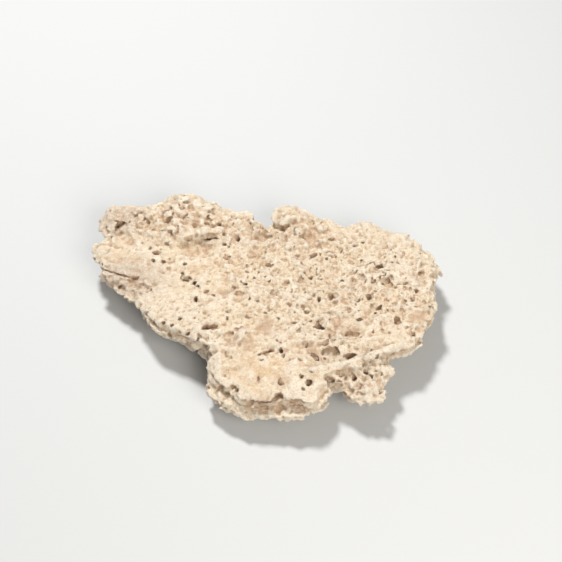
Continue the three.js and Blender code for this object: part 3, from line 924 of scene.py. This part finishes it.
# %% Stains, and what the material reads
ochre = np.clip(
    patch(zones["points"], 268, 371, 34, 22)
    + 1.2 * patch(zones["points"], 120, 257, 19, 9)
    + 0.5 * patch(zones["points"], 112, 248, 24, 20)
    + 0.5 * patch(zones["points"], 225, 262, 26, 20)
    + 0.6 * patch(zones["points"], 198, 268, 15, 10)
    + 0.8 * patch(zones["points"], 262, 257, 22, 16)
    + 0.8 * patch(zones["points"], 392, 303, 24, 14),
    0, 1,
)
blush = np.clip(
    patch(zones["points"], 124, 284, 46, 26) + zones["lobe"] + 0.45 * zones["sponge"]
    + 0.1 * zones["sheet"],
    0, 1,
)
store(reef_rock, "hole_depth", depths / MM)
basin = patch(zones["points"], 132, 241, 8, 7)
store(reef_rock, "crust", np.clip(zones["crust"] + basin, 0, 1) * zones["top"])
store(reef_rock, "ochre", ochre * zones["top"])
store(reef_rock, "blush", blush)
store(reef_rock, "proud", proud)
store(reef_rock, "swell", swell)
store(reef_rock, "side", zones["side"])
holed = zones["pitted"] + zones["sponge"] + 0.5 * zones["crust"]
store(reef_rock, "pitted", np.clip(holed, 0.15, 1))
print("deepest hole, mm:", round(depths.max() / MM, 1))

# %% [markdown]
# ## The stone's finish
#
# Dry reef limestone is chalky and quite without shine: cream where it is bare and clean, tan in
# the crust and in stains, and pinkish brown on the floors of pits. Painted light is laid over this:
# a painted highlight on crests and rises, painted brown shade in creases, hollows and small pores,
# tan on the sides and brown on pit floors that are partly painted shade, and dark painted shade
# deep inside holes. The material is built from a few noises in Object coordinates and the
# attributes above. Arithmetic on sockets is written as plain sums with a small class, because a
# long chain of Math nodes made one by one hides what it works out.


# %% Sockets that do arithmetic
class Wire:
    """An output socket, on which + - * and ** add Math nodes."""

    def __init__(self, sheet, socket):
        self.sheet = sheet
        self.socket = socket

    def sum_with(self, operation, first, second):
        return self.sheet.node("ShaderNodeMath", {"operation": operation}, {0: first, 1: second})

    def __add__(self, other):
        return self.sum_with("ADD", self, other)

    __radd__ = __add__

    def __sub__(self, other):
        return self.sum_with("SUBTRACT", self, other)

    def __rsub__(self, other):
        return self.sum_with("SUBTRACT", other, self)

    def __mul__(self, other):
        return self.sum_with("MULTIPLY", self, other)

    __rmul__ = __mul__

    def __pow__(self, other):
        return self.sum_with("POWER", self, other)


class Sheet:
    """A material's node sheet. One method adds any node."""

    def __init__(self, name):
        self.material = bpy.data.materials.new(name)
        self.material.use_nodes = True
        self.nodes = self.material.node_tree.nodes
        self.links = self.material.node_tree.links
        self.shader = self.nodes["Principled BSDF"]

    def feed(self, socket, value):
        if isinstance(value, Wire):
            self.links.new(value.socket, socket)
        else:
            socket.default_value = value

    def node(self, kind, settings=None, inputs=None, output=0):
        made = self.nodes.new(kind)
        for name, value in (settings or {}).items():
            setattr(made, name, value)
        for name, value in (inputs or {}).items():
            self.feed(made.inputs[name], value)
        return Wire(self, made.outputs[output])

    def mix(self, share, plain, other):
        """Colours go through a Mix node: plain where share is 0 and other where it is 1."""
        made = self.nodes.new("ShaderNodeMix")
        made.data_type = "RGBA"
        self.feed(made.inputs[0], share)
        self.feed(made.inputs[6], plain)
        self.feed(made.inputs[7], other)
        return Wire(self, made.outputs[2])

    def between(self, value, start, end):
        """0 up to start, 1 from end on, and smooth between."""
        return self.node(
            "ShaderNodeMapRange",
            {"interpolation_type": "SMOOTHSTEP"},
            {"Value": value, "From Min": start, "From Max": end},
        )


# %% Colours of the stone, and of its painted highlight and shade
CREAM = (0.87, 0.745, 0.565, 1)
# A pale tone of the stone, and also the painted highlight on crests and rises.
PALE_TONE_AND_HIGHLIGHT = (0.97, 0.90, 0.775, 1)
TAN = (0.68, 0.49, 0.33, 1)
OCHRE = (0.80, 0.58, 0.345, 1)
BLUSH = (0.62, 0.53, 0.455, 1)
# A brown for fine grain, and also the painted shade in creases, hollows and small pores.
BROWN_GRAIN_AND_SHADE = (0.60, 0.42, 0.275, 1)
# The pinkish brown of pit floors, which also serves as painted shade in holes and large pores.
PIT_BROWN_AND_SHADE = (0.62, 0.44, 0.31, 1)
# Painted shade deep inside holes.
PIT_SHADE = (0.26, 0.175, 0.12, 1)

# %% The material
stone = Sheet("dry_reef_limestone")
place = stone.node("ShaderNodeTexCoord", output="Object")


def cloud(size, detail=3, rough=0.55):
    """Noise from 0 to 1 whose lumps are about size mm."""
    return stone.node(
        "ShaderNodeTexNoise",
        {},
        {"Vector": place, "Scale": 1 / (size * MM), "Detail": detail, "Roughness": rough},
    )


def attribute(name):
    return stone.node("ShaderNodeAttribute", {"attribute_name": name}, output="Fac")


def pores(size, reach, share_layer):
    """Crooked pores, 1 in the middle of a pore and 0 outside, in about half of the cells."""
    bend = stone.node(
        "ShaderNodeTexNoise", {}, {"Vector": place, "Scale": 1 / (0.7 * size * MM)}, output="Color"
    )
    bent = stone.node(
        "ShaderNodeVectorMath",
        {"operation": "MULTIPLY_ADD"},
        {0: bend, 1: (0.9 * size * MM,) * 3, 2: place},
    )
    distance = stone.node(
        "ShaderNodeTexVoronoi", {}, {"Vector": bent, "Scale": 1 / (size * MM)}, output="Distance"
    )
    open_here = stone.between(cloud(share_layer, 2), 0.46, 0.6)
    return (1 - stone.between(distance, reach * 0.45, reach)) * open_here


hole_depth = attribute("hole_depth")
proud = attribute("proud")
swell = attribute("swell")
pitted = attribute("pitted")
broad = cloud(45)
blotches = cloud(14, 4)
mottle = cloud(4.5, 3)
speckle = cloud(1.7, 2, 0.65)
specks = cloud(2.6, 2, 0.7)
grain = cloud(1.2, 3, 0.7)
small_pores = pores(3.4, 0.42, 11) * pitted
large_pores = pores(7.0, 0.36, 19) * pitted

colour = stone.mix(stone.between(broad, 0.38, 0.62) * 0.6, CREAM, PALE_TONE_AND_HIGHLIGHT)
colour = stone.mix(stone.between(blotches, 0.5, 0.7) * 0.45, colour, TAN)
colour = stone.mix(attribute("crust") * (0.3 + 0.4 * speckle), colour, TAN)
colour = stone.mix(attribute("ochre") * stone.between(blotches, 0.3, 0.62) * 0.75, colour, OCHRE)
colour = stone.mix(attribute("blush") * 0.8, colour, BLUSH)
# Tan on the sides, partly their own colour and partly painted shade that makes them brown rather than
# grey.
colour = stone.mix(attribute("side") * 0.35, colour, TAN)
colour = stone.mix(stone.between(mottle, 0.52, 0.68) * 0.35, colour, TAN)
# The next four mixes are painted light: a painted highlight on broad rises and on crests, weaker in
# the blush, and painted brown shade in broad hollows and in creases.
bright = 1 - 0.6 * attribute("blush")
colour = stone.mix(stone.between(swell + mottle, 0.9, 2.6) * 0.6 * bright, colour, PALE_TONE_AND_HIGHLIGHT)
colour = stone.mix(stone.between(mottle - swell, 1.0, 2.8) * 0.65, colour, BROWN_GRAIN_AND_SHADE)
colour = stone.mix(stone.between(proud + mottle * 0.3, 0.25, 0.9) * 0.7 * bright, colour, PALE_TONE_AND_HIGHLIGHT)
colour = stone.mix(stone.between(mottle * 0.3 - proud, 0.28, 0.95) * 0.8, colour, BROWN_GRAIN_AND_SHADE)
colour = stone.mix(stone.between(speckle, 0.54, 0.66) * 0.55, colour, TAN)
colour = stone.mix((1 - stone.between(speckle, 0.34, 0.46)) * 0.55, colour, PALE_TONE_AND_HIGHLIGHT)
colour = stone.mix(stone.between(grain, 0.56, 0.66) * 0.35, colour, BROWN_GRAIN_AND_SHADE)
colour = stone.mix(stone.between(specks, 0.62, 0.7) * 0.55 * (0.3 + pitted), colour, PIT_BROWN_AND_SHADE)
# Painted shade in pores too small to cut: darker spots, with a matching bump below.
colour = stone.mix(small_pores * 0.5, colour, BROWN_GRAIN_AND_SHADE)
colour = stone.mix(large_pores * 0.45, colour, PIT_BROWN_AND_SHADE)
# Brown on pit floors, partly their own colour and partly painted shade, and dark painted shade deep
# inside holes.
colour = stone.mix(stone.between(hole_depth + mottle * 2.4, 1.6, 3.8) * 0.8, colour, PIT_BROWN_AND_SHADE)
colour = stone.mix(stone.between(hole_depth + speckle, 3.6, 6.5), colour, PIT_SHADE)
stone.feed(stone.shader.inputs["Base Color"], colour)
stone.shader.inputs["Roughness"].default_value = 0.95
stone.shader.inputs["Specular IOR Level"].default_value = 0.2

surface = cloud(3.2, 5, 0.7) * 1.3 + grain * 1.4 - small_pores * 0.6 - large_pores * 0.8
bump = stone.node(
    "ShaderNodeBump", {}, {"Height": surface, "Strength": 1.0, "Distance": 1.6 * MM}
)
stone.feed(stone.shader.inputs["Normal"], bump)
reef_rock.data.materials.clear()
reef_rock.data.materials.append(stone.material)

# %% [markdown]
# ## Handing over
#
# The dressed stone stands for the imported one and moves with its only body.

# %% Join the dressed stone to the frame
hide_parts("reef_rock")
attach(reef_rock, "root")

looks_box = [list(corner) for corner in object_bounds()]
for name, low, high in zip("xyz", *looks_box):
    print("dressed", name, "mm:", round(low / MM, 1), round(high / MM, 1))
